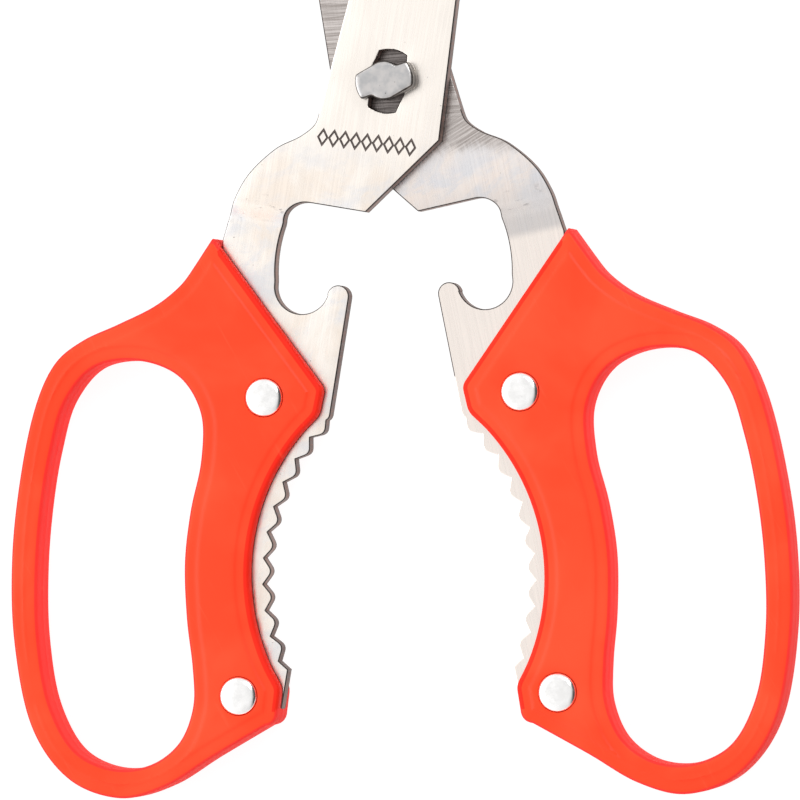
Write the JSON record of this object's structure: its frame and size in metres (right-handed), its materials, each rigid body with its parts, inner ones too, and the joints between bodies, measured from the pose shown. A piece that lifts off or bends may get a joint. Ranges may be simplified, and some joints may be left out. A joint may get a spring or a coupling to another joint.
{
  "type": "poultry shears",
  "caption": "Take-apart poultry shears with stamped steel halves on a winged stud, moulded loop handles, bottle-opener hooks and a toothed jaw.",
  "frame": {"origin": "on the pivot axis, in the flat back face of the back blade, where the stud's tenon ends flush", "axes": "+X to the right seen from the front, +Y along the blades, +Z out of the front, towards the stud's head"},
  "size_m": [0.1324, 0.2223, 0.0096],
  "materials": {
    "blade_steel": "ground and polished",
    "rivet_steel": "bright",
    "stud_steel": "satin",
    "handle_plastic": "semi-gloss moulded"
  },
  "bodies": {
    "back_half": {"back_blade": "blade_steel", "right_handle": "handle_plastic", "right_upper_rivet_pin": "rivet_steel", "right_upper_rivet_socket": "rivet_steel", "right_lower_rivet_pin": "rivet_steel", "right_lower_rivet_socket": "rivet_steel", "pivot_stud": "stud_steel"},
    "front_half": {"front_blade": "blade_steel", "left_handle": "handle_plastic", "left_upper_rivet_pin": "rivet_steel", "left_upper_rivet_socket": "rivet_steel", "left_lower_rivet_pin": "rivet_steel", "left_lower_rivet_socket": "rivet_steel"}
  },
  "joints": [
    {"name": "pivot", "type": "hinge", "parent": "back_half", "child": "front_half", "pos_m": [0, 0, 0], "axis": [0, 0, -1], "range_deg": [-21.8, 65.2]}
  ]
}
